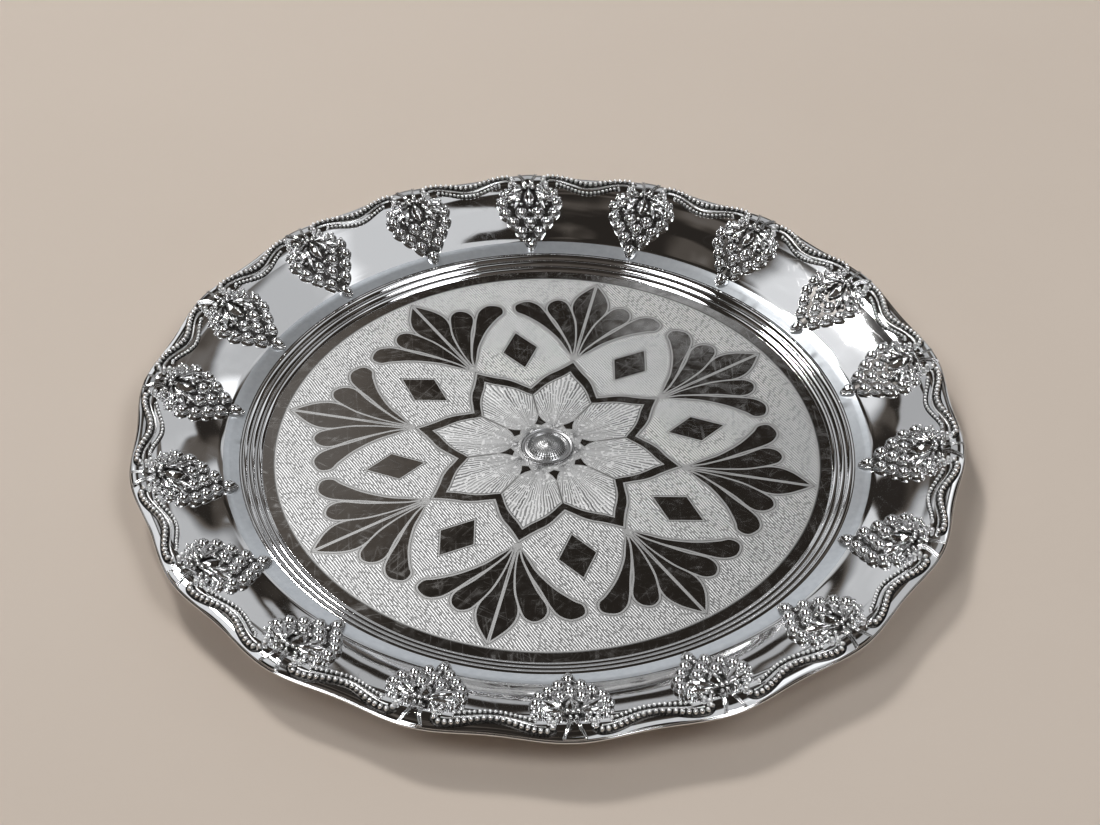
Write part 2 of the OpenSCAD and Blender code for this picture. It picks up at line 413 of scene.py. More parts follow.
def hatched(net, shader):
    """The engraving's ground: fine parallel cuts across the plate, crossed at intervals like brickwork; the cuts have
    bump, and their colour holds painted shade on one side, a painted highlight beside it and painted shade in the
    brick cuts.
    """
    x, y, _ = net.split(net.where)
    wobble = net.mul(net.sub(net.noise(110.0, None, 1.0), 0.5), 0.0011)
    xs = net.math("DIVIDE", net.add(x, wobble), HATCH_PITCH)
    row = net.math("FLOOR", xs)
    phase = net.math("FRACT", xs)
    cut_shade_stripe = net.band(phase, 0.18, 0.09, 0.2)
    cut_highlight_stripe = net.band(phase, 0.62, 0.1, 0.26)
    along = net.add(net.math("DIVIDE", y, BRICK), net.mul(net.random(row), 7.0))
    cell = net.math("FLOOR", along)
    inside = net.math("FRACT", along)
    pick = net.node("ShaderNodeTexWhiteNoise", noise_dimensions="2D")
    net.put(pick.inputs["Vector"], net.node("ShaderNodeCombineXYZ", {"X": row, "Y": cell}).outputs[0])
    length = net.mul(pick.outputs[0], 0.46)
    stroke = net.mul(net.ramp(inside, length, net.sub(length, 0.1)), net.math("GREATER_THAN", length, 0.23))
    stroke = net.mul(stroke, net.band(phase, 0.6, 0.3, 0.42))
    grain = net.noise(5200.0, None, 2.0, 0.6)
    cloud = net.noise(500.0, None, 2.0, 0.6)
    tone = net.add(net.add(0.33, net.mul(grain, 0.18)), net.mul(cloud, 0.18))
    # painted shade in each cut and each brick cut, painted highlight beside each cut
    for mark, share in ((cut_shade_stripe, 0.3), (cut_highlight_stripe, 1.3), (stroke, 0.5)):
        tone = net.mul(tone, net.mix(mark, 1.0, share))
    net.put(shader.inputs["Base Color"], net.grey(tone))
    net.put(shader.inputs["Roughness"], net.mix(grain, 0.34, 0.5))
    height = net.sub(net.sub(cut_highlight_stripe, cut_shade_stripe), net.mul(stroke, 0.8))
    lines = net.bump(height, 0.00004, 0.8)
    net.put(shader.inputs["Normal"], net.bump(grain, 0.00001, 0.7, lines))


def fanned(net, shader):
    """The star's petals: cuts that fan out from the middle of the plate to the petal's edge."""
    side, up, _ = net.split(net.node("ShaderNodeUVMap", uv_map="petal").outputs[0])
    wobble = net.mul(net.sub(net.noise(260.0, None, 2.0), 0.5), 0.06)
    angle = net.add(net.math("ARCTAN2", side, net.sub(up, 0.205)), wobble)
    xs = net.mul(angle, 18.0)
    seed = net.random(net.math("FLOOR", xs))
    ridge = net.math("ABSOLUTE", net.sub(net.math("FRACT", xs), 0.5))
    depth = net.add(0.55, net.mul(seed, 0.5))
    gaps = net.ramp(net.noise(700.0, None, 1.0), 0.34, 0.42)
    cut = net.mul(net.ramp(ridge, 0.3, 0.16), net.mul(gaps, depth))
    grain = net.noise(5000.0, None, 2.0, 0.6)
    tone = net.add(0.66, net.mul(grain, 0.32))
    # painted shade: the colour darkens in the fanned cuts
    net.put(shader.inputs["Base Color"], net.grey(net.mul(tone, net.mix(cut, 1.0, 0.24))))
    net.put(shader.inputs["Roughness"], net.mix(grain, 0.38, 0.56))
    lines = net.bump(net.sub(1.0, cut), 0.00012, 0.9)
    net.put(shader.inputs["Normal"], net.bump(grain, 0.00001, 0.6, lines))


def bright_cut(net, shader):
    """The engraving's outlines: clean cuts that catch the light."""
    grain = net.noise(2600.0)
    net.put(shader.inputs["Base Color"], net.mix(grain, (0.36, 0.358, 0.355, 1), (0.56, 0.557, 0.55, 1)))
    net.put(shader.inputs["Roughness"], net.mix(grain, 0.36, 0.5))
    net.put(shader.inputs["Normal"], net.bump(grain, 0.00001, 0.5))


def shaded_cut_painted(net, shader):
    """The shaded side of a cut, as painted shade: dark grey on a flat strip."""
    grain = net.noise(2000.0)
    net.put(shader.inputs["Roughness"], net.mix(grain, 0.36, 0.55))
    net.put(shader.inputs["Base Color"], net.mix(grain, (0.06, 0.06, 0.058, 1), (0.2, 0.198, 0.195, 1)))


def painted_shade_metal(net, shader):
    """Near-black metal as painted shade: between grapes, in their seats, under beads and in the boss collar's groove.
    """
    grain = net.noise(1500.0)
    net.put(shader.inputs["Roughness"], net.mix(grain, 0.18, 0.38))
    net.put(shader.inputs["Base Color"], net.mix(grain, (0.02, 0.019, 0.018, 1), (0.09, 0.085, 0.08, 1)))


def satin(net, shader):
    """The plain ring: brushed round the plate, cooler and softer than the polish beside it."""
    x, y, _ = net.split(net.where)
    brushed = net.node("ShaderNodeCombineXYZ", {
        "X": net.mul(net.radius(x, y), 4200.0),
        "Y": net.mul(net.math("ARCTAN2", y, x), 9.0)}).outputs[0]
    hair = net.noise(1.0, brushed, 2.0, 0.5)
    cloud = net.noise(420.0, None, 3.0, 0.6)
    net.put(shader.inputs["Roughness"], net.mix(hair, 0.14, 0.23))
    net.put(shader.inputs["Base Color"], net.mix(cloud, (0.56, 0.6, 0.64, 1), (0.8, 0.83, 0.86, 1)))
    net.put(shader.inputs["Normal"], net.bump(hair, 0.000012, 0.7))


def boss_cut(net, shader):
    """The dome's close cuts, which run from its top to its foot and are crossed by rings, with painted shade in them.
    """
    x, y, _ = net.split(net.where)
    bend = net.mul(net.noise(900.0, None, 1.0), 1.6)
    spoke = net.math("SINE", net.add(net.mul(net.math("ARCTAN2", y, x), 40.0), bend))
    ring = net.math("SINE", net.add(net.mul(net.radius(x, y), 9000.0), bend))
    cut = net.math("MAXIMUM", net.ramp(spoke, 0.1, 0.8), net.mul(net.ramp(ring, 0.5, 0.95), 0.7))
    # painted shade: the colour darkens nearly to black in the cuts
    net.put(shader.inputs["Base Color"], net.mix(cut, (0.52, 0.52, 0.52, 1), (0.07, 0.07, 0.069, 1)))
    net.put(shader.inputs["Roughness"], net.mix(cut, 0.3, 0.42))
    net.put(shader.inputs["Normal"], net.bump(cut, 0.00005, 0.8))


SILVER = metal("silver_polished", (0.88, 0.88, 0.885), polished(0.025, 0.06, 0.0005, 0.12, 0.0000006))
SATIN = metal("silver_satin", (0.7, 0.72, 0.74), satin, 0.7)
CAST = metal("silver_cast", (0.75, 0.75, 0.75), polished(0.035, 0.08, 0.00001, 0.0, 0.000001))
BEAD = metal("silver_beads", (0.97, 0.97, 0.97), polished(0.24, 0.31, 0.00001, 0.0, 0.000001))
COLLAR = metal("boss_collar", (0.5, 0.5, 0.505), polished(0.22, 0.32, 0.00001, 0.1, 0.000001))
DOME = metal("boss_cut", (0.6, 0.6, 0.6), boss_cut)
DARK = metal("engraved_smooth", (0.74, 0.735, 0.73), dark_polish)
GROUND = metal("engraved_hatched", (0.6, 0.6, 0.6), hatched, 0.95)
PETAL = metal("engraved_fanned", (0.6, 0.6, 0.6), fanned, 0.9)
BRIGHT = metal("engraved_bright_cut", (0.7, 0.69, 0.68), bright_cut, 0.6)
CUT_PAINTED_SHADE = metal("engraved_cut_painted_shade", (0.25, 0.25, 0.25), shaded_cut_painted, 0.9)
# near-black metal that paints shade into hollows and gaps
RECESS_PAINTED_SHADE = metal("silver_painted_shade", (0.3, 0.3, 0.3), painted_shade_metal)
# Material slots of the mounts and cords; the second holds near-black metal as painted shade
RAISED, SUNK_PAINTED_SHADE = 0, 1


# ------------------------ dish: reeds, ring, wall, lip and underside
EDGE_ROUND, EDGE_STEPS = 0.5, 8
# How far the dish's own floor lies below the engraved one
FLOOR_SINK = 0.15


def lip_share(r):
    """How much of the scallop a point at radius r takes: none inside the crown, all of it at the edge."""
    return max(0.0, (r - CROWN_R) / (PLATE_R - CROWN_R))


def section(top):
    """Section of the dish from the floor over the edge and back below, as (radius, height, share of the scallop)."""
    line = []
    for r, z in top:
        w = lip_share(r)
        if r < PLATE_R - 0.01:
            line.append((r if w < 0.9 else min(r, PLATE_R - EDGE_ROUND), z, w))
    for i in range(EDGE_STEPS + 1):
        a = math.pi / 2 - math.pi * i / EDGE_STEPS
        line.append((PLATE_R - EDGE_ROUND + EDGE_ROUND * math.cos(a),
                     top[-1][1] - EDGE_ROUND + EDGE_ROUND * math.sin(a), 1.0))
    # the underside: the plain face moved inward by the sheet's thickness, flat under the floor
    core = [(0.0, SHEET)] + face_line(8, reeds=False)
    for i in range(len(core) - 1, 0, -1):
        p, q = core[i - 1], core[min(i + 1, len(core) - 1)]
        d = Vector((q[0] - p[0], q[1] - p[1])).normalized()
        r, z = core[i][0] + d.y * SHEET, core[i][1] - d.x * SHEET
        if r < PLATE_R - EDGE_ROUND - 0.3:
            line.append((r, max(z, 0.0) if r > FLOOR_R + 2 else 0.0, lip_share(r)))
    return line


def make_dish():
    shape = Shape()
    steps = SWAGS * 40
    top = face_line(20)
    line = section(top)
    rows = []
    for k in range(steps):
        a = TAU * k / steps
        ca, sa, s = math.cos(a), math.sin(a), scallop(a)
        rows.append([((r - w * s) * ca, (r - w * s) * sa, z) for r, z, w in line])
    # a few small burrs in the grooves beside the reeds
    rnd = random.Random(3)
    grooves = [i for i, (r, z, w) in enumerate(line[:len(top)]) for g in range(REEDS + 1)
               if abs(r - FLOOR_R - g * REED_W) < 0.01]
    for i in grooves:
        for k in range(steps):
            if rnd.random() < 0.03:
                x, y, z = rows[k][i]
                rows[k][i] = (x, y, z + rnd.uniform(0.03, 0.08))
    shape.grid(rows, close_v=True)
    n = len(line)
    for f in range(steps * (n - 1)):
        i = f % (n - 1)
        if RING_R + 0.2 < line[i][0] and line[i + 1][0] < FOOT_R + 0.8 and i < len(top):
            shape.m[f] = 1                           # the plain ring
    r, z = line[0][0], SHEET - FLOOR_SINK
    base = len(shape.v)
    shape.add([(r * math.cos(TAU * k / steps), r * math.sin(TAU * k / steps), z) for k in range(steps)] + [(0, 0, z)],
              [(k, (k + 1) % steps, steps) for k in range(steps)], 0, False)
    for k in range(steps):
        shape.face((k * n, base + k, base + (k + 1) % steps, ((k + 1) % steps) * n), 0, False)
    centre = len(shape.v)
    shape.add([(0, 0, 0)], [])
    for k in range(steps):
        shape.face((centre, ((k + 1) % steps) * n + n - 1, k * n + n - 1), 0, False)
    obj = place("pressed_dish", shape.mesh("pressed_dish", [SILVER, SATIN]))
    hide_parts("dish")
    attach(obj, "root")


# ------------------------ engraved floor
def spline(points, steps=7):
    """Smooth open line through the points."""
    p = [Vector(q) for q in points]
    p = [2 * p[0] - p[1]] + p + [2 * p[-1] - p[-2]]
    out = []
    for i in range(1, len(p) - 2):
        for k in range(steps):
            t = k / steps
            out.append(0.5 * ((2 * p[i]) + (p[i + 1] - p[i - 1]) * t
                              + (2 * p[i - 1] - 5 * p[i] + 4 * p[i + 1] - p[i + 2]) * t * t
                              + (-p[i - 1] + 3 * p[i] - 3 * p[i + 1] + p[i + 2]) * t ** 3))
    out.append(p[-2])
    return out


def area(poly):
    """Area of a polygon, positive where it runs anticlockwise."""
    return sum(a.x * b.y - b.x * a.y for a, b in zip(poly, poly[1:] + poly[:1])) / 2


def grown(poly, d):
    """Anticlockwise polygon whose sides lie d outside, or inside where d is negative."""
    out = []
    for i, p in enumerate(poly):
        a = (p - poly[i - 1]).normalized()
        b = (poly[(i + 1) % len(poly)] - p).normalized()
        na, nb = Vector((a.y, -a.x)), Vector((b.y, -b.x))
        m = na + nb
        k = 2 / max(m.length_squared, 0.55)
        out.append(p + m * (d * k))
    return out


def around(r, n):
    return [Vector((r * math.cos(TAU * i / n), r * math.sin(TAU * i / n))) for i in range(n)]


PETALS = 8
PETAL_TURN = TAU / PETALS
# Half outlines in star units, with local Y along the axis of the fan or the petal
LOBES = [
    [(0.011, 1.09), (0.012, 1.5), (0.012, 1.95), (0.06, 1.885), (0.107, 1.81), (0.136, 1.72), (0.128, 1.62),
     (0.072, 1.48), (0.038, 1.33), (0.02, 1.2)],
    [(0.024, 1.09), (0.034, 1.22), (0.056, 1.35), (0.095, 1.5), (0.16, 1.64), (0.205, 1.7), (0.27, 1.715),
     (0.325, 1.66), (0.32, 1.567), (0.217, 1.433), (0.133, 1.3), (0.06, 1.175)],
    [(0.036, 1.075), (0.072, 1.165), (0.15, 1.29), (0.25, 1.42), (0.345, 1.55), (0.42, 1.625), (0.51, 1.645),
     (0.585, 1.58), (0.56, 1.505), (0.483, 1.475), (0.333, 1.392), (0.183, 1.265), (0.092, 1.15)],
]
STEM_ENDS = ((0.0, 1.2), (0.045, 1.17), (-0.045, 1.17), (0.09, 1.15), (-0.09, 1.15))
DIAMOND = ((0, 1.345), (0.135, 1.145), (0, 0.925), (-0.135, 1.125))
ARROW = ((-0.042, 0.27), (0, 0.248), (0.042, 0.27), (0.017, 0.31), (0, 0.362), (-0.017, 0.31))
VEIN = ((-0.0025, 0.37), (0.0025, 0.37), (0.005, 0.612), (-0.005, 0.612))
STAR_OUT = [(0, 0.985), (0.05, 0.92), (0.1, 0.862), (0.15, 0.81), (0.19, 0.75), (0.218, 0.69)]
STAR_IN = [(0, 0.88), (0.05, 0.815), (0.1, 0.763), (0.145, 0.709), (0.18, 0.652), (0.204, 0.6)]
VALLEY_OUT, VALLEY_IN = 0.665, 0.598
DISC_R = 2.0
# Outer edges of the bright, shaded and bright cuts that make an outline; the shaded one is painted shade
OUTLINE = (0.0145, 0.0195, 0.0315)
# Materials of the engraved floor, in the order of its slots
FIELD, SMOOTH, CUT, SHADE, FAN = range(5)
NO_LEVEL = 99


def engraving():
    """Polygons of the pattern as (kind, level, points), in star units and in the plate's own axes."""
    polys = []

    def put(kind, pts, turn, rings=OUTLINE):
        pts = [Vector(p) for p in pts]
        pts = pts if area(pts) > 0 else pts[::-1]
        rot = Matrix.Rotation(turn, 2)
        for level, d in enumerate((0.0, *rings)):
            polys.append((kind, level, [rot @ p for p in (grown(pts, d) if d else pts)]))

    for k in range(PETALS):
        turn = PETAL_TURN * k - math.pi / 2          # local Y becomes the fan's own direction
        for lobe in LOBES:
            # the first lobe keeps its straight side and its sharp tip
            half = [Vector(p) for p in lobe[:3]] + spline(lobe[2:])[1:] if lobe is LOBES[0] else spline(lobe)
            for side in (1, -1):
                put("lobe", [(side * p.x, p.y) for p in half], turn)
        for x, y in STEM_ENDS:
            put("stem", ((-0.006, 0.99), (0.006, 0.99), (x + 0.011, y), (x - 0.011, y)), turn, ())
        between = turn + PETAL_TURN / 2
        put("lobe", DIAMOND, between, (0.010, 0.016))
        put("arrow", ARROW, between, (0.009,))
        put("vein", VEIN, between, (0.009,))
    for kind, outline, valley, rings in (("star", STAR_OUT, VALLEY_OUT, OUTLINE),
                                         ("petal", STAR_IN, VALLEY_IN, (-0.012, -0.018))):
        right = spline(outline, 5)
        low = (-math.sin(PETAL_TURN / 2) * valley, math.cos(PETAL_TURN / 2) * valley)
        chain = [Vector(low)] + [Vector((-p.x, p.y)) for p in reversed(right)] + right[1:]
        pts = []
        for k in range(PETALS):
            tip = Matrix.Rotation(PETAL_TURN * k - math.pi / 2, 2)
            pts += [tip @ p for p in reversed(chain)]
        put(kind, pts, 0.0, rings)
    put("disc", around(DISC_R, 360), 0.0, (0.012, 0.02))
    return polys


def kind_of(found):
    """Material of a face, from the polygons of the pattern that hold it."""
    levels = {}
    for kind, level in found:
        levels[kind] = min(level, levels.get(kind, NO_LEVEL))
    petal_levels = [level for kind, level in found if kind == "petal"]
    if petal_levels:
        if "arrow" in levels:
            return SMOOTH if levels["arrow"] == 0 else CUT
        if "vein" in levels:
            return SHADE if levels["vein"] == 0 else CUT
        return (CUT, SHADE, FAN)[max(petal_levels)]
    if levels.get("star") == 0:
        return SMOOTH
    level = min(levels.get("star", NO_LEVEL), levels.get("lobe", NO_LEVEL))
    if level < NO_LEVEL:
        return (SMOOTH, CUT, SHADE, CUT)[level]
    if "stem" in levels:
        return CUT
    if "disc" in levels:
        return (FIELD, CUT, SHADE)[levels["disc"]]
    return SMOOTH


def make_floor():
    """The flat engraved floor: its faces are cut along the pattern, and each field has its own material."""
    rim = FLOOR_R / STAR
    verts, faces, kinds = [], [], []
    for kind, level, pts in [("rim", 0, around(rim, 720))] + engraving():
        faces.append(list(range(len(verts), len(verts) + len(pts))))
        verts += pts
        kinds.append((kind, level))
    out_v, _, out_f, _, _, orig_f = delaunay_2d_cdt(verts, [], faces, 1, 1e-6, True)
    face_v = [(p.x * STAR, p.y * STAR, SHEET) for p in out_v]
    mats = [kind_of([kinds[i] for i in ids]) for ids in orig_f]
    n = len(face_v)
    mesh = bpy.data.meshes.new("engraved_floor")
    # the sheet below the pattern, so that the piece is closed
    boundary = [i for i, p in enumerate(out_v) if p.length > rim * 0.9999]
    boundary.sort(key=lambda i: math.atan2(out_v[i].y, out_v[i].x))
    count = len(boundary)
    low = [(face_v[i][0], face_v[i][1], SHEET - 0.12) for i in boundary]
    sides = [(boundary[k], n + k, n + (k + 1) % count, boundary[(k + 1) % count]) for k in range(count)]
    bottom = [tuple(n + k for k in reversed(range(count)))]
    mesh.from_pydata([(x * MM, y * MM, z * MM) for x, y, z in face_v + low], [],
                     [tuple(f) for f in out_f] + sides + bottom)
    mesh.polygons.foreach_set("material_index", mats + [SMOOTH] * (count + 1))
    for mat in (GROUND, DARK, BRIGHT, CUT_PAINTED_SHADE, PETAL):
        mesh.materials.append(mat)
    # each petal's own axes, in star units, for the cuts that fan out in it
    uv = mesh.uv_layers.new(name="petal")
    for poly in mesh.polygons:
        c = poly.center
        k = round(math.atan2(c.y, c.x) / PETAL_TURN)
        rot = Matrix.Rotation(math.pi / 2 - PETAL_TURN * k, 2)
        for li in poly.loop_indices:
            co = mesh.vertices[mesh.loops[li].vertex_index].co
            uv.data[li].uv = rot @ Vector((co.x, co.y)) / (STAR * MM)
    mesh.update()
    obj = place("engraved_floor", mesh)
    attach(obj, "root")


# ------------------------ centre boss
DOME_R, DOME_H, DOME_ROWS, COLLAR_R = 7.1, 3.0, 40, 9.9
# The boss beyond its dome, as steps from the dome's foot and then from the collar's edge, and above the floor
DOME_FOOT = ((0.08, 0.5), (0.25, 0.72), (0.45, 0.6), (0.7, 0.4), (1.2, 0.28), (1.7, 0.34), (2.0, 0.52))
COLLAR_EDGE = ((-0.62, 0.58), (-0.56, 0.36), (-0.34, 0.34), (-0.28, 0.56), (-0.1, 0.52), (-0.03, 0.3), (0, 0.02))


def make_boss():
    shape = Shape()
    n = 360
    ball = (DOME_R ** 2 + DOME_H ** 2) / (2 * DOME_H)
    line = []
    for i in range(DOME_ROWS):
        r = DOME_R * (i + 1) / DOME_ROWS
        z = SHEET + math.sqrt(max(ball ** 2 - r * r, 0)) - (ball - DOME_H)
        line.append((r, z, 1.0 if r < DOME_R - 0.3 else 0.0))
    for start, steps in ((DOME_R, DOME_FOOT), (COLLAR_R, COLLAR_EDGE)):
        line += [(start + dr, SHEET + dz, 0) for dr, dz in steps]
    rows = []
    for r, z, k in line:
        row = []
        for j in range(n):
            a = TAU * j / n
            flute = 0.016 * math.sin(a * 44) * min(1, r / 2.6) * k
            weave = 0.005 * math.sin(r * 9.0 + 0.8 * math.sin(a * 3)) * min(1, 2.5 / (r + 0.5)) * k
            row.append((r * math.cos(a), r * math.sin(a), z + flute + weave))
        rows.append(row)
    shape.grid(rows, close_u=True)
    groove = DOME_ROWS + len(DOME_FOOT)              # the first of the two face rows of the collar's groove
    # the groove's two rows get near-black metal as painted shade
    for f in range((DOME_ROWS - 1) * n, len(shape.m)):
        shape.m[f] = 2 if f // n in (groove, groove + 1) else 1
    apex = len(shape.v)
    shape.add([(0, 0, SHEET + DOME_H)], [])
    for j in range(n):
        shape.face((apex, j, (j + 1) % n))
    shape.face(reversed(range(apex - n, apex)), 0, False)
    obj = place("boss_rosette", shape.mesh("boss_rosette", [DOME, COLLAR, RECESS_PAINTED_SHADE]))
    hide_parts("centre_boss")
    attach(obj, "root")


# ------------------------ grape mounts
# Half section of a grape in its seat, as (share of its outline, height), drawn for a grape GRAPE_H high
GRAPE_H = 2.9
GRAPE_LINE = [(1.0, 0.0), (1.0, 0.75), (0.975, 1.0), (0.935, 1.05), (0.9, 0.85), (0.88, 0.5), (0.865, 0.7),
              (0.83, 1.25), (0.76, 1.8), (0.65, 2.25), (0.51, 2.58), (0.35, 2.78), (0.18, 2.88)]
# Rows of that section where the seat's bottom starts and ends; it gets near-black metal as painted shade
SEAT_START, SEAT_END = 4, 6


def grape(shape, r, v, w, length, height, turn, tilt):
    """Drop-shaped grape in a narrow seat, its point down the wall."""
    m = face_frame(r, v) @ Matrix.Rotation(turn, 4, "Z") @ Matrix.Rotation(tilt, 4, "Y")
    n = 28

    def outline(t, k):
        c, s = math.cos(t), math.sin(t)
        if c >= 0:
            return w * k * c * 1.02, w * k * s
        return length * k * c, w * k * s * (1 - 0.34 * (-c) ** 1.3)

    rows = [[m @ Vector((*outline(TAU * j / n, k), h * height / GRAPE_H)) for j in range(n)] for k, h in GRAPE_LINE]
    shape.grid(rows[:SEAT_START + 1], RAISED, close_u=True)
    # the seat's bottom in near-black metal, as painted shade round the grape
    shape.grid(rows[SEAT_START:SEAT_END + 1], SUNK_PAINTED_SHADE, close_u=True)
    shape.grid(rows[SEAT_END:], RAISED, close_u=True)
    top = len(shape.v)
    shape.add([m @ Vector((0, 0, height))], [])
    for j in range(n):
        shape.face((top - n + j, top - n + (j + 1) % n, top), RAISED)
    shape.add(rows[0], [tuple(reversed(range(n)))], RAISED, False)


def leaf(shape, r, v, length, width, height, turn, lift, cup, keel=2.2):
    """Pointed leaf with a sunk midrib or a keel, growing from its place along local X."""
    m = face_frame(r, v) @ Matrix.Rotation(turn, 4, "Z")
    steps, across = 14, 10
    rows = []
    for i in range(steps + 1):
        t = i / steps
        half = width / 2 * math.sin(math.pi * min(max(t, 0.015), 0.985)) ** 0.8
        row = []
        for j in range(across + 1):
            s = 2 * j / across - 1
            crown = height * (1 - abs(s) ** keel) - cup * height * math.exp(-(s / 0.2) ** 2)
            crown *= (0.45 + 0.55 * math.sin(math.pi * t)) * (1 + 0.06 * math.sin(t * 30 + abs(s) * 6))
            row.append(m @ Vector((length * t, half * s, lift + crown)))
        row += [m @ Vector((length * t, half * (1 - 2 * j / across), 0.0)) for j in range(across + 1)]
        rows.append(row)
    shape.bar(rows, RAISED)


def pearl(shape, r, v, d, lift):
    """Small ball of diameter d, sunk a little where lift is 0."""
    shape.ball(face_frame(r, v) @ Matrix.Translation((0, 0, d / 2 * 0.8 + lift)), d / 2, d / 2, d / 2, 12, 7)


def slab(shape, outline, centre, mat, top):
    """Thin plate with a soft edge that lies on the face, mirrored about the X axis."""
    half = spline(outline, 4)
    pts = half + [Vector((p.x, -p.y)) for p in reversed(half)]
    rows = []
    for k, h in ((1.0, SOLDER), (1.0, top * 0.45), (0.985, top * 0.7), (0.95, top * 0.9), (0.8, top), (0.5, top)):
        rows.append([on_face(centre + (p.x - centre) * k, p.y * k, h) for p in pts])
    shape.grid(rows, mat, close_u=True)
    n, end = len(pts), len(shape.v)
    for first, h, up in ((end - n, top, True), (end - n * len(rows), SOLDER, False)):
        mid = len(shape.v)
        shape.add([on_face(centre, 0, h)], [])
        for j in range(n):
            a, b = first + j, first + (j + 1) % n
            shape.face((a, b, mid) if up else (b, a, mid), mat)


# Parts of a mount, placed by radius and by distance from the X axis. Outlines of half the carrying plate and neck:
BACK = [(113.8, 0.3), (115.2, 1.1), (117.7, 2.2), (120.1, 4.2), (122.0, 5.6), (124.0, 8.0), (127.0, 10.0),
        (131.0, 11.2), (135.0, 11.0), (137.2, 9.9), (138.9, 8.2), (140.2, 5.6), (141.4, 3.0), (141.8, 0.3)]
NECK = [(139.5, 0.4), (140.4, 2.2), (142.0, 1.75), (143.6, 1.6), (145.2, 1.9), (146.8, 2.5), (148.2, 3.2),
        (149.1, 3.7), (149.35, 0.4)]
# Rows of large grapes from the point up, then the small grapes at each shoulder with their sizes and turns
GRAPE_ROWS = [(116.5, (0,)), (121.4, (-3.7, 3.7)), (125.3, (-7.0, 0, 7.0)), (129.1, (-10.0, -3.4, 3.4, 10.0)),
              (133.4, (-11.0, 11.0))]
SMALL_GRAPES = ((137.3, 10.1, 1.9, 2.4, 2.3, 0.5), (138.1, 6.5, 1.35, 2.1, 2.5, 0.9),
                (140.9, 4.2, 1.05, 1.6, 1.9, 0.9))
# Leaves at each side: place, length, width, height, turn in degrees, lift and cup
LEAVES = ((137.9, 2.6, 9.2, 2.7, 1.7, 127, 1.5, 0.45), (137.0, 3.4, 8.0, 2.2, 1.7, 158, 1.5, 0.4),
          (139.4, 2.4, 9.4, 2.3, 1.4, 106, 1.3, 0.4))
# Pearls between the grapes, and with their diameters those round the leaves
GAP_PEARLS = ((121.3, 0), (129.6, 0), (132.6, -3.3), (132.6, 3.3), (132.4, -7.1), (132.4, 7.1))
LEAF_PEARLS = ((139.3, 9.2, 1.7), (140.6, 7.6, 1.6), (135.3, 12.6, 1.5), (138.9, 11.3, 1.4), (136.0, 7.9, 1.6),
               (141.9, 5.2, 1.3), (139.7, 5.5, 1.4))
RIB = [(140.8, 1.7), (142.0, 1.35), (143.4, 1.3), (144.8, 1.5), (146.2, 1.95), (147.6, 2.5), (149.0, 3.1)]


def make_mounts():
    shape = Shape()
    rnd = random.Random(7)
    # the carrying plate in near-black metal, as painted shade in the gaps between the grapes
    slab(shape, BACK, 129.0, SUNK_PAINTED_SHADE, 0.9)
    slab(shape, NECK, 144.6, RAISED, 0.5)
    for i, (r, places) in enumerate(GRAPE_ROWS):
        for v in places:
            turn = math.atan2(v, 60.0) * 0.9
            if i == 0:
                grape(shape, r + 0.2, v, 2.6, 3.9, 2.8, 0, 0.02)
            else:
                grape(shape, r, v, 2.55 + rnd.uniform(-0.08, 0.08), 3.2, 3.0 + rnd.uniform(-0.05, 0.1), turn,
                      0.05 + rnd.uniform(-0.02, 0.02))
    for side in (-1, 1):
        for r, v, w, length, height, turn in SMALL_GRAPES:
            grape(shape, r, side * v, w, length, height, side * turn, 0.0)
    for r, v in GAP_PEARLS:
        pearl(shape, r, v, 1.5, 0.8)
    # leaves above the bunch: one down its middle, three at each side
    leaf(shape, 139.2, 0, 8.6, 4.6, 1.9, math.pi, 1.6, 0.0, 1.3)
    for side in (-1, 1):
        for r, v, length, width, height, turn, lift, cup in LEAVES:
            leaf(shape, r, side * v, length, width, height, side * math.radians(turn), lift, cup)
        for r, v, d in LEAF_PEARLS:
            pearl(shape, r, side * v, d, 0.5)
    for v in (-1.75, 0, 1.75):
        pearl(shape, 140.1 - 0.25 * abs(v), v, 1.85, 1.3)
    for v in (-0.95, 0.95):
        pearl(shape, 141.6, v, 1.4, 0.75)
    # two ribs at each side, which run from the pearls to the edge
    for side in (-1, 1):
        for off, rad in ((0.0, 0.3), (0.72, 0.24)):
            shape.tube(spline([on_face(r, side * (v + off), 0.42) for r, v in RIB], 4), rad)
    mesh = shape.mesh("grape_bunch_01", [CAST, RECESS_PAINTED_SHADE])
    for k in range(SWAGS):
        obj = place("grape_bunch_%02d" % (k + 1), mesh, SWAG * k)
        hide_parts("grape_mount_%02d" % (k + 1))
        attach(obj, "root")


# ------------------------ beaded swags
CREST_R = PLATE_R - 3.4
DIP_R = CREST_R - 4.0
CURL_R = 2.4
CREST_ANGLE = SWAG / 2 - math.asin((3.0 * 0.7 + 1.95 + 2 * CURL_R) / CREST_R)
FINE_DIP_R = DIP_R - 4.0
FINE_ANGLE = SWAG / 2 - math.asin((6.9 * 1.5 + 1.4) / FINE_DIP_R)
# Steps from a swag's middle to its crest, and how many of the curl's own steps the ribbon under it follows
HALF_STEPS, CURL_STEPS = 48, 21


def sag(t):
    """Rise of a swag above its dip, from 0 at its middle to the full rise where t is pi."""
    return (CREST_R - DIP_R) * (1 - math.cos(t)) / 2


def outer_half():
    """Half of the outer cord as (radius, azimuth): from its dip to its crest, and round its curl."""
    n = HALF_STEPS
    line = [(DIP_R + sag(math.pi * i / n), CREST_ANGLE * i / n) for i in range(n + 1)]
    for i in range(1, n + 1):
        t = math.radians(150) * i / n
        line.append((CREST_R - CURL_R * (1 - math.cos(t)), CREST_ANGLE + math.asin(CURL_R * math.sin(t) / CREST_R)))
    return line


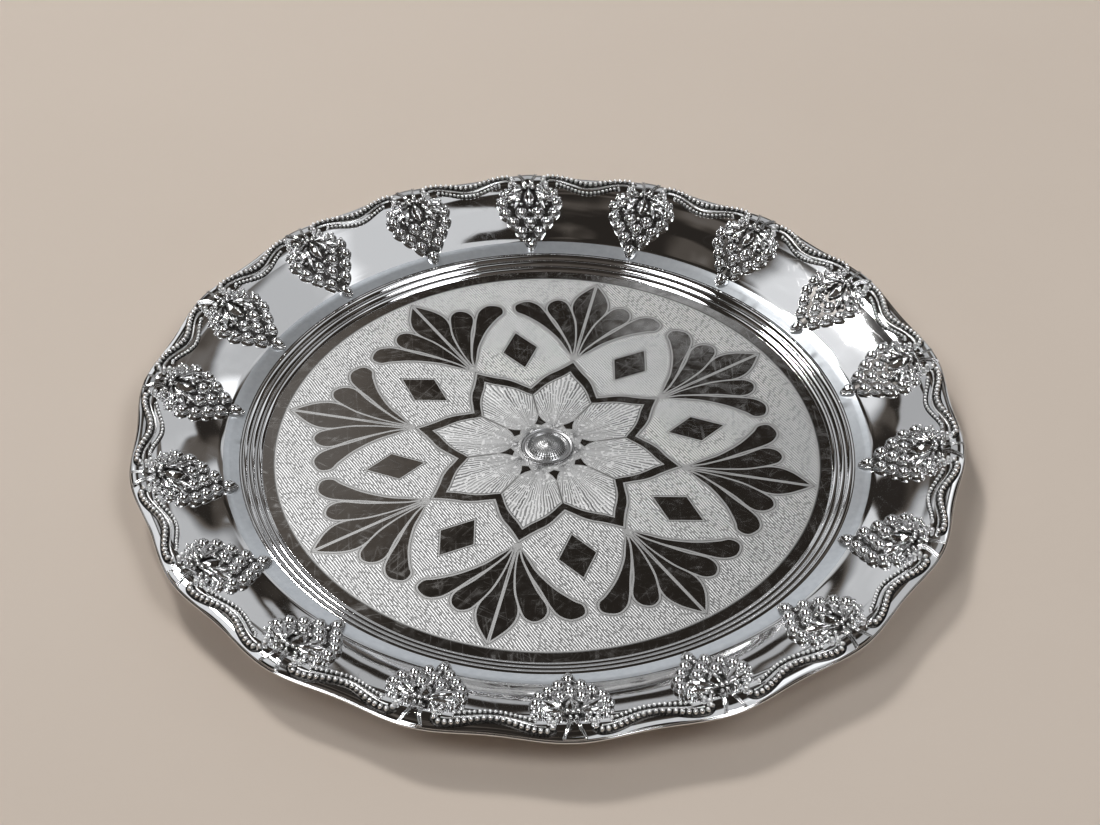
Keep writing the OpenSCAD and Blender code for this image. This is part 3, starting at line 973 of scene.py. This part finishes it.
def inner_half():
    """Half of the inner cord, which keeps beside the outer one."""
    n = HALF_STEPS
    return [(FINE_DIP_R + sag(math.pi * i / n * FINE_ANGLE / CREST_ANGLE), FINE_ANGLE * i / n) for i in range(n + 1)]


def whole(half, h):
    """A cord's line h above the face, mirrored about the X axis."""
    right = [polar(r, a, h) for r, a in half]
    return [Vector((p.x, -p.y, p.z)) for p in reversed(right[1:])] + right


def along(line, pitch):
    """Evenly spaced places on a line, each with its direction."""
    total, marks = 0.0, [0.0]
    for a, b in zip(line, line[1:]):
        total += (b - a).length
        marks.append(total)
    count = round(total / pitch)
    out, k = [], 0
    for i in range(count + 1):
        s = total * i / count
        while k < len(marks) - 2 and marks[k + 1] < s:
            k += 1
        t = (s - marks[k]) / (marks[k + 1] - marks[k])
        out.append((line[k].lerp(line[k + 1], t), (line[k + 1] - line[k]).normalized()))
    return out


def beads(shape, line, pitch, length, width, height):
    """Row of beads, each turned to the line and to the face under it."""
    for p, d in along(line, pitch):
        s = face_slope(math.hypot(p.x, p.y))
        a = math.atan2(p.y, p.x)
        up = Vector((-math.sin(s) * math.cos(a), -math.sin(s) * math.sin(a), math.cos(s)))
        side = up.cross(d).normalized()
        d = side.cross(up).normalized()
        m = Matrix((d, side, up)).transposed().to_4x4()
        m.translation = p
        shape.ball(m, length / 2, width / 2, height / 2, 14, 8)


def strip(shape, line, half_w, lift):
    """Flat ribbon on the face under a row of beads, in near-black metal as painted shade."""
    rows = []
    for i, p in enumerate(line):
        t = (line[min(i + 1, len(line) - 1)] - line[max(i - 1, 0)])
        side = Vector((-t.y, t.x, 0)).normalized()
        row = []
        for k in (-1, -0.5, 0, 0.5, 1):
            q = p + side * (half_w * k)
            row.append(Vector((q.x, q.y, face_z(math.hypot(q.x, q.y)) + lift)))
        row += [Vector((q.x, q.y, q.z - lift - 0.3)) for q in reversed(row)]
        rows.append(row)
    shape.bar(rows, SUNK_PAINTED_SHADE)


def make_cords():
    outer, inner = Shape(), Shape()
    beads(outer, whole(outer_half(), 0.8), 2.05, 1.55, 1.95, 1.95)
    strip(outer, whole(outer_half()[:HALF_STEPS + 1 + CURL_STEPS], 0.0), 1.55, 0.12)
    # smooth wire in the step between the two rows
    wire = [(r - 1.9, a) for r, a in outer_half()[:HALF_STEPS + 1]]
    outer.tube(whole(wire, 0.15), 0.28)
    beads(inner, whole(inner_half(), 0.55), 1.62, 1.25, 1.3, 1.35)
    strip(inner, whole(inner_half(), 0.0), 0.85, 0.1)
    meshes = {kind: shape.mesh(kind + "_beading_01", [BEAD, RECESS_PAINTED_SHADE])
              for kind, shape in (("outer", outer), ("inner", inner))}
    for k in range(SWAGS):
        for kind, mesh in meshes.items():
            obj = place("%s_beading_%02d" % (kind, k + 1), mesh, SWAG * (k + 0.5))
            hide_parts("%s_cord_%02d" % (kind, k + 1))
            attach(obj, "root")


# ------------------------ stage, light and camera
def make_stage():
    """The pale floor that the plate stands on."""
    mesh = bpy.data.meshes.new("floor")
    n, r = 96, 4.0                                   # sides, and radius in metres
    mesh.from_pydata([(r * math.cos(TAU * i / n), r * math.sin(TAU * i / n), 0) for i in range(n)], [],
                     [tuple(range(n))])
    mat = bpy.data.materials.new("pale_floor")
    mat.use_nodes = True
    shader = mat.node_tree.nodes["Principled BSDF"]
    net = Net(mat.node_tree)
    cloud = net.noise(3.0, net.node("ShaderNodeTexCoord").outputs["Object"])
    net.put(shader.inputs["Base Color"], net.mix(cloud, (0.6, 0.51, 0.43, 1), (0.66, 0.57, 0.49, 1)))
    shader.inputs["Roughness"].default_value = 0.8
    mesh.materials.append(mat)
    obj = place("floor", mesh)


# Light and dark panels of the studio: azimuth and elevation ranges in degrees (in the photograph's frame, with the
# camera at -90), how soft their edges are, and how bright they are
PANELS = [
    (-8, 60, 62, 84, 4, 0.62), (128, 156, 34, 60, 4, 0.75), (158, 176, 68, 73, 3, 0.05),
    (22, 52, 38, 62, 5, 0.5), (44, 53, 24, 37, 3, 0.8), (57, 63, 14, 24, 2, 0.5), (118, 124, 10, 26, 2, 0.8),
    (108, 119, 34, 46, 1.2, 0.4), (62, 75, 33, 42, 1.5, 0.5), (82, 87, 36.5, 39, 1.2, 0.4),
    (74, 104, 2.5, 4, 1, 0.4), (80, 100, 9, 11, 1.2, 0.4),
    (110, 113, 5, 19, 1.2, 0.7), (128, 131, 24, 33, 1.2, 0.5), (103, 106, -2, 9, 1.5, 0.5), (67, 70, 5, 16, 1.5, 0.6),
    (49, 51, 8, 20, 1.2, 0.5),
    # the two bright boxes behind the camera, which light the grapes, the beads and the floor
    (-46, -20, 46, 68, 2, 7.0), (-160, -136, 44, 66, 2, 7.0),
    (74, 106, 15, 30, 3, 0.5),
    (-150, -30, 20, 60, 12, 0.05),
]


def make_world():
    """The studio round the plate: a dim room with the panels above, warm where it is dark."""
    world = bpy.data.worlds.new("studio")
    bpy.context.scene.world = world
    world.use_nodes = True
    net = Net(world.node_tree)
    back = world.node_tree.nodes["Background"]
    way = net.mapped(net.node("ShaderNodeTexCoord").outputs["Generated"], rotation=(0, 0, TURN))
    x, y, z = net.split(way)
    azimuth = net.mul(net.math("ARCTAN2", y, x), 180 / math.pi)
    elevation = net.mul(net.math("ARCSINE", z), 180 / math.pi)
    bend = net.mul(net.sub(net.noise(3.2, way, 2.0), 0.5), 9.0)
    azimuth = net.add(azimuth, bend)
    elevation = net.add(elevation, net.mul(bend, 0.5))
    total = net.add(0.019, net.mul(net.ramp(net.noise(4.0, way, 3.0), 0.5, 0.75), 0.14))
    for a0, a1, e0, e1, soft, level in PANELS:
        centre, half = (a0 + a1) / 2, (a1 - a0) / 2
        off = net.sub(azimuth, centre)
        off = net.math("ABSOLUTE", net.math("WRAP", off, 180.0, -180.0))
        across = net.ramp(off, half + soft, half)
        up = net.mul(net.ramp(elevation, e0 - soft, e0), net.ramp(elevation, e1 + soft, e1))
        total = net.add(total, net.mul(net.mul(across, up), level))
    tint = net.ramp(total, 0.03, 0.25)
    colour = net.mix(tint, (1.16, 0.99, 0.84, 1), (0.985, 1.0, 1.02, 1))
    scaled = net.node("ShaderNodeVectorMath", operation="SCALE", inputs={"Vector": colour, "Scale": total})
    net.put(back.inputs["Color"], scaled.outputs[0])
    back.inputs["Strength"].default_value = 1.0


def make_light():
    """The key light: a soft square lamp high behind the plate, 3 m away and turned to its middle."""
    data = bpy.data.lights.new("key", "AREA")
    data.shape = "SQUARE"
    data.size = 0.46
    data.energy = 34
    data.color = (1.0, 0.995, 0.985)
    a, e = math.radians(126) - TURN, math.radians(53)
    way = Vector((math.cos(a) * math.cos(e), math.sin(a) * math.cos(e), math.sin(e)))
    obj = bpy.data.objects.new("key", data)
    obj.location = way * 3.0
    obj.rotation_mode = "QUATERNION"
    obj.rotation_quaternion = (-way).to_track_quat("-Z", "Y")
    bpy.context.scene.collection.objects.link(obj)


# Camera fitted to the photograph: width and focal length in its pixels, then radians, and the distance in metres
PHOTO_W, FOCAL, SENSOR = 1100, 2040.9, 36.0
CAM_ELEVATION, CAM_ROLL, CAM_PAN, CAM_TILT = 0.7500857, -0.00842058, 0.00129224, -0.0170213
CAM_DISTANCE = 15.1380 * STAR * MM


def make_camera():
    data = bpy.data.cameras.new("camera")
    data.sensor_width = SENSOR
    data.sensor_fit = "HORIZONTAL"
    data.lens = FOCAL * SENSOR / PHOTO_W
    data.clip_start, data.clip_end = 0.01, 50
    obj = bpy.data.objects.new("camera", data)
    up = Vector((0, math.sin(CAM_ELEVATION), math.cos(CAM_ELEVATION)))
    back = Vector((0, -math.cos(CAM_ELEVATION), math.sin(CAM_ELEVATION)))
    look = Matrix((Vector((1, 0, 0)), up, back))
    tip = Matrix.Rotation(CAM_PAN, 3, "Y") @ Matrix.Rotation(CAM_TILT, 3, "X")
    to_camera = tip @ Matrix.Rotation(CAM_ROLL, 3, "Z") @ look @ Matrix.Rotation(TURN, 3, "Z")
    obj.rotation_mode = "QUATERNION"
    obj.rotation_quaternion = to_camera.transposed().to_quaternion()
    obj.location = Matrix.Rotation(-TURN, 3, "Z") @ (back * CAM_DISTANCE) + Vector((0, 0, SHEET * MM))
    bpy.context.scene.collection.objects.link(obj)
    bpy.context.scene.camera = obj


make_camera()
make_stage()
make_world()
make_light()
make_dish()
make_floor()
make_boss()
make_mounts()
make_cords()

bpy.context.scene.view_settings.view_transform = "Standard"
